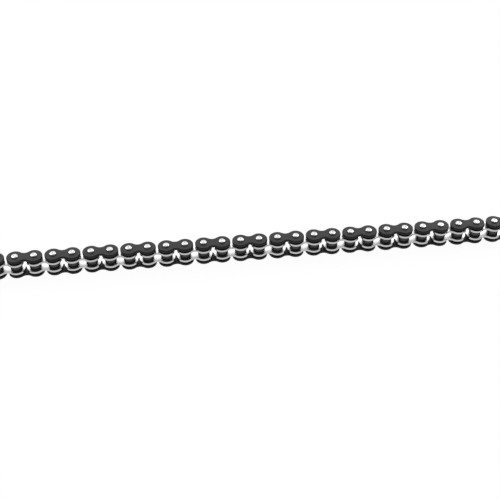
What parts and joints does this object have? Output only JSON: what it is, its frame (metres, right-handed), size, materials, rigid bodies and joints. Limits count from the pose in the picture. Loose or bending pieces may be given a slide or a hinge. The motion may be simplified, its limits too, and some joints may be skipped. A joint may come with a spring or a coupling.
{
  "type": "roller chain",
  "caption": "Straight strand of sealed roller chain on its side: blackened outer links riveted through bright inner links, a free roller on every bushing.",
  "frame": {"origin": "centre of the strand: the middle of its length, of its plate height and of its pin length, so Z = 0 is the sprocket's middle plane", "axes": "+X along the strand, +Y across the plates, +Z along the pins and up as the strand lies"},
  "size_m": [0.4748, 0.0146, 0.021],
  "materials": {
    "black_plate": "satin blackened steel with a fine grain",
    "nickel_plate": "bright nickel plating",
    "roller_steel": "dark oiled hardened steel",
    "pin_steel": "ground bright steel",
    "seal_rubber": "black greased rubber"
  },
  "bodies": {
    "outer_link_01": {"outer_link_01": "black_plate"},
    "outer_link_02": {"outer_link_02": "black_plate"},
    "outer_link_03": {"outer_link_03": "black_plate"},
    "outer_link_04": {"outer_link_04": "black_plate"},
    "outer_link_05": {"outer_link_05": "black_plate"},
    "outer_link_06": {"outer_link_06": "black_plate"},
    "outer_link_07": {"outer_link_07": "black_plate"},
    "outer_link_08": {"outer_link_08": "black_plate"},
    "outer_link_09": {"outer_link_09": "black_plate"},
    "outer_link_10": {"outer_link_10": "black_plate"},
    "outer_link_11": {"outer_link_11": "black_plate"},
    "outer_link_12": {"outer_link_12": "black_plate"},
    "outer_link_13": {"outer_link_13": "black_plate"},
    "outer_link_14": {"outer_link_14": "black_plate"},
    "connecting_link": {"connecting_plate_upper": "black_plate", "connecting_plate_lower": "black_plate", "connecting_pin_joined": "pin_steel", "connecting_pin_free": "pin_steel"},
    "inner_link_01": {"inner_link_01": "nickel_plate"},
    "inner_link_02": {"inner_link_02": "nickel_plate"},
    "inner_link_03": {"inner_link_03": "nickel_plate"},
    "inner_link_04": {"inner_link_04": "nickel_plate"},
    "inner_link_05": {"inner_link_05": "nickel_plate"},
    "inner_link_06": {"inner_link_06": "nickel_plate"},
    "inner_link_07": {"inner_link_07": "nickel_plate"},
    "inner_link_08": {"inner_link_08": "nickel_plate"},
    "inner_link_09": {"inner_link_09": "nickel_plate"},
    "inner_link_10": {"inner_link_10": "nickel_plate"},
    "inner_link_11": {"inner_link_11": "nickel_plate"},
    "inner_link_12": {"inner_link_12": "nickel_plate"},
    "inner_link_13": {"inner_link_13": "nickel_plate"},
    "inner_link_14": {"inner_link_14": "nickel_plate"},
    "roller_01": {"roller_01": "roller_steel"},
    "roller_02": {"roller_02": "roller_steel"},
    "roller_03": {"roller_03": "roller_steel"},
    "roller_04": {"roller_04": "roller_steel"},
    "roller_05": {"roller_05": "roller_steel"},
    "roller_06": {"roller_06": "roller_steel"},
    "roller_07": {"roller_07": "roller_steel"},
    "roller_08": {"roller_08": "roller_steel"},
    "roller_09": {"roller_09": "roller_steel"},
    "roller_10": {"roller_10": "roller_steel"},
    "roller_11": {"roller_11": "roller_steel"},
    "roller_12": {"roller_12": "roller_steel"},
    "roller_13": {"roller_13": "roller_steel"},
    "roller_14": {"roller_14": "roller_steel"},
    "roller_15": {"roller_15": "roller_steel"},
    "roller_16": {"roller_16": "roller_steel"},
    "roller_17": {"roller_17": "roller_steel"},
    "roller_18": {"roller_18": "roller_steel"},
    "roller_19": {"roller_19": "roller_steel"},
    "roller_20": {"roller_20": "roller_steel"},
    "roller_21": {"roller_21": "roller_steel"},
    "roller_22": {"roller_22": "roller_steel"},
    "roller_23": {"roller_23": "roller_steel"},
    "roller_24": {"roller_24": "roller_steel"},
    "roller_25": {"roller_25": "roller_steel"},
    "roller_26": {"roller_26": "roller_steel"},
    "roller_27": {"roller_27": "roller_steel"},
    "roller_28": {"roller_28": "roller_steel"}
  },
  "joints": [
    {"name": "hinge_01", "type": "hinge", "parent": "inner_link_01", "child": "outer_link_01", "pos_m": [-0.21431, 0, 0], "axis": [0, 0, -1], "range_deg": [-110, 110]},
    {"name": "hinge_02", "type": "hinge", "parent": "outer_link_02", "child": "inner_link_01", "pos_m": [-0.19844, 0, 0], "axis": [0, 0, 1], "range_deg": [-110, 110]},
    {"name": "hinge_03", "type": "hinge", "parent": "inner_link_02", "child": "outer_link_02", "pos_m": [-0.18256, 0, 0], "axis": [0, 0, -1], "range_deg": [-110, 110]},
    {"name": "hinge_04", "type": "hinge", "parent": "outer_link_03", "child": "inner_link_02", "pos_m": [-0.16669, 0, 0], "axis": [0, 0, 1], "range_deg": [-110, 110]},
    {"name": "hinge_05", "type": "hinge", "parent": "inner_link_03", "child": "outer_link_03", "pos_m": [-0.15081, 0, 0], "axis": [0, 0, -1], "range_deg": [-110, 110]},
    {"name": "hinge_06", "type": "hinge", "parent": "outer_link_04", "child": "inner_link_03", "pos_m": [-0.13494, 0, 0], "axis": [0, 0, 1], "range_deg": [-110, 110]},
    {"name": "hinge_07", "type": "hinge", "parent": "inner_link_04", "child": "outer_link_04", "pos_m": [-0.11906, 0, 0], "axis": [0, 0, -1], "range_deg": [-110, 110]},
    {"name": "hinge_08", "type": "hinge", "parent": "outer_link_05", "child": "inner_link_04", "pos_m": [-0.10319, 0, 0], "axis": [0, 0, 1], "range_deg": [-110, 110]},
    {"name": "hinge_09", "type": "hinge", "parent": "inner_link_05", "child": "outer_link_05", "pos_m": [-0.08731, 0, 0], "axis": [0, 0, -1], "range_deg": [-110, 110]},
    {"name": "hinge_10", "type": "hinge", "parent": "outer_link_06", "child": "inner_link_05", "pos_m": [-0.07144, 0, 0], "axis": [0, 0, 1], "range_deg": [-110, 110]},
    {"name": "hinge_11", "type": "hinge", "parent": "inner_link_06", "child": "outer_link_06", "pos_m": [-0.05556, 0, 0], "axis": [0, 0, -1], "range_deg": [-110, 110]},
    {"name": "hinge_12", "type": "hinge", "parent": "outer_link_07", "child": "inner_link_06", "pos_m": [-0.03969, 0, 0], "axis": [0, 0, 1], "range_deg": [-110, 110]},
    {"name": "hinge_13", "type": "hinge", "parent": "inner_link_07", "child": "outer_link_07", "pos_m": [-0.02381, 0, 0], "axis": [0, 0, -1], "range_deg": [-110, 110]},
    {"name": "hinge_14", "type": "hinge", "parent": "outer_link_08", "child": "inner_link_07", "pos_m": [-0.00794, 0, 0], "axis": [0, 0, 1], "range_deg": [-110, 110]},
    {"name": "hinge_15", "type": "hinge", "parent": "outer_link_08", "child": "inner_link_08", "pos_m": [0.00794, 0, 0], "axis": [0, 0, 1], "range_deg": [-110, 110]},
    {"name": "hinge_16", "type": "hinge", "parent": "inner_link_08", "child": "outer_link_09", "pos_m": [0.02381, 0, 0], "axis": [0, 0, -1], "range_deg": [-110, 110]},
    {"name": "hinge_17", "type": "hinge", "parent": "outer_link_09", "child": "inner_link_09", "pos_m": [0.03969, 0, 0], "axis": [0, 0, 1], "range_deg": [-110, 110]},
    {"name": "hinge_18", "type": "hinge", "parent": "inner_link_09", "child": "outer_link_10", "pos_m": [0.05556, 0, 0], "axis": [0, 0, -1], "range_deg": [-110, 110]},
    {"name": "hinge_19", "type": "hinge", "parent": "outer_link_10", "child": "inner_link_10", "pos_m": [0.07144, 0, 0], "axis": [0, 0, 1], "range_deg": [-110, 110]},
    {"name": "hinge_20", "type": "hinge", "parent": "inner_link_10", "child": "outer_link_11", "pos_m": [0.08731, 0, 0], "axis": [0, 0, -1], "range_deg": [-110, 110]},
    {"name": "hinge_21", "type": "hinge", "parent": "outer_link_11", "child": "inner_link_11", "pos_m": [0.10319, 0, 0], "axis": [0, 0, 1], "range_deg": [-110, 110]},
    {"name": "hinge_22", "type": "hinge", "parent": "inner_link_11", "child": "outer_link_12", "pos_m": [0.11906, 0, 0], "axis": [0, 0, -1], "range_deg": [-110, 110]},
    {"name": "hinge_23", "type": "hinge", "parent": "outer_link_12", "child": "inner_link_12", "pos_m": [0.13494, 0, 0], "axis": [0, 0, 1], "range_deg": [-110, 110]},
    {"name": "hinge_24", "type": "hinge", "parent": "inner_link_12", "child": "outer_link_13", "pos_m": [0.15081, 0, 0], "axis": [0, 0, -1], "range_deg": [-110, 110]},
    {"name": "hinge_25", "type": "hinge", "parent": "outer_link_13", "child": "inner_link_13", "pos_m": [0.16669, 0, 0], "axis": [0, 0, 1], "range_deg": [-110, 110]},
    {"name": "hinge_26", "type": "hinge", "parent": "inner_link_13", "child": "outer_link_14", "pos_m": [0.18256, 0, 0], "axis": [0, 0, -1], "range_deg": [-110, 110]},
    {"name": "hinge_27", "type": "hinge", "parent": "outer_link_14", "child": "inner_link_14", "pos_m": [0.19844, 0, 0], "axis": [0, 0, 1], "range_deg": [-110, 110]},
    {"name": "hinge_28", "type": "hinge", "parent": "inner_link_14", "child": "connecting_link", "pos_m": [0.21431, 0, 0], "axis": [0, 0, -1], "range_deg": [-110, 110]},
    {"name": "roller_01_spin", "type": "hinge", "parent": "inner_link_01", "child": "roller_01", "pos_m": [-0.21431, 0, 0], "axis": [0, 0, 1], "continuous": true},
    {"name": "roller_02_spin", "type": "hinge", "parent": "inner_link_01", "child": "roller_02", "pos_m": [-0.19844, 0, 0], "axis": [0, 0, 1], "continuous": true},
    {"name": "roller_03_spin", "type": "hinge", "parent": "inner_link_02", "child": "roller_03", "pos_m": [-0.18256, 0, 0], "axis": [0, 0, 1], "continuous": true},
    {"name": "roller_04_spin", "type": "hinge", "parent": "inner_link_02", "child": "roller_04", "pos_m": [-0.16669, 0, 0], "axis": [0, 0, 1], "continuous": true},
    {"name": "roller_05_spin", "type": "hinge", "parent": "inner_link_03", "child": "roller_05", "pos_m": [-0.15081, 0, 0], "axis": [0, 0, 1], "continuous": true},
    {"name": "roller_06_spin", "type": "hinge", "parent": "inner_link_03", "child": "roller_06", "pos_m": [-0.13494, 0, 0], "axis": [0, 0, 1], "continuous": true},
    {"name": "roller_07_spin", "type": "hinge", "parent": "inner_link_04", "child": "roller_07", "pos_m": [-0.11906, 0, 0], "axis": [0, 0, 1], "continuous": true},
    {"name": "roller_08_spin", "type": "hinge", "parent": "inner_link_04", "child": "roller_08", "pos_m": [-0.10319, 0, 0], "axis": [0, 0, 1], "continuous": true},
    {"name": "roller_09_spin", "type": "hinge", "parent": "inner_link_05", "child": "roller_09", "pos_m": [-0.08731, 0, 0], "axis": [0, 0, 1], "continuous": true},
    {"name": "roller_10_spin", "type": "hinge", "parent": "inner_link_05", "child": "roller_10", "pos_m": [-0.07144, 0, 0], "axis": [0, 0, 1], "continuous": true},
    {"name": "roller_11_spin", "type": "hinge", "parent": "inner_link_06", "child": "roller_11", "pos_m": [-0.05556, 0, 0], "axis": [0, 0, 1], "continuous": true},
    {"name": "roller_12_spin", "type": "hinge", "parent": "inner_link_06", "child": "roller_12", "pos_m": [-0.03969, 0, 0], "axis": [0, 0, 1], "continuous": true},
    {"name": "roller_13_spin", "type": "hinge", "parent": "inner_link_07", "child": "roller_13", "pos_m": [-0.02381, 0, 0], "axis": [0, 0, 1], "continuous": true},
    {"name": "roller_14_spin", "type": "hinge", "parent": "inner_link_07", "child": "roller_14", "pos_m": [-0.00794, 0, 0], "axis": [0, 0, 1], "continuous": true},
    {"name": "roller_15_spin", "type": "hinge", "parent": "inner_link_08", "child": "roller_15", "pos_m": [0.00794, 0, 0], "axis": [0, 0, 1], "continuous": true},
    {"name": "roller_16_spin", "type": "hinge", "parent": "inner_link_08", "child": "roller_16", "pos_m": [0.02381, 0, 0], "axis": [0, 0, 1], "continuous": true},
    {"name": "roller_17_spin", "type": "hinge", "parent": "inner_link_09", "child": "roller_17", "pos_m": [0.03969, 0, 0], "axis": [0, 0, 1], "continuous": true},
    {"name": "roller_18_spin", "type": "hinge", "parent": "inner_link_09", "child": "roller_18", "pos_m": [0.05556, 0, 0], "axis": [0, 0, 1], "continuous": true},
    {"name": "roller_19_spin", "type": "hinge", "parent": "inner_link_10", "child": "roller_19", "pos_m": [0.07144, 0, 0], "axis": [0, 0, 1], "continuous": true},
    {"name": "roller_20_spin", "type": "hinge", "parent": "inner_link_10", "child": "roller_20", "pos_m": [0.08731, 0, 0], "axis": [0, 0, 1], "continuous": true},
    {"name": "roller_21_spin", "type": "hinge", "parent": "inner_link_11", "child": "roller_21", "pos_m": [0.10319, 0, 0], "axis": [0, 0, 1], "continuous": true},
    {"name": "roller_22_spin", "type": "hinge", "parent": "inner_link_11", "child": "roller_22", "pos_m": [0.11906, 0, 0], "axis": [0, 0, 1], "continuous": true},
    {"name": "roller_23_spin", "type": "hinge", "parent": "inner_link_12", "child": "roller_23", "pos_m": [0.13494, 0, 0], "axis": [0, 0, 1], "continuous": true},
    {"name": "roller_24_spin", "type": "hinge", "parent": "inner_link_12", "child": "roller_24", "pos_m": [0.15081, 0, 0], "axis": [0, 0, 1], "continuous": true},
    {"name": "roller_25_spin", "type": "hinge", "parent": "inner_link_13", "child": "roller_25", "pos_m": [0.16669, 0, 0], "axis": [0, 0, 1], "continuous": true},
    {"name": "roller_26_spin", "type": "hinge", "parent": "inner_link_13", "child": "roller_26", "pos_m": [0.18256, 0, 0], "axis": [0, 0, 1], "continuous": true},
    {"name": "roller_27_spin", "type": "hinge", "parent": "inner_link_14", "child": "roller_27", "pos_m": [0.19844, 0, 0], "axis": [0, 0, 1], "continuous": true},
    {"name": "roller_28_spin", "type": "hinge", "parent": "inner_link_14", "child": "roller_28", "pos_m": [0.21431, 0, 0], "axis": [0, 0, 1], "continuous": true}
  ]
}
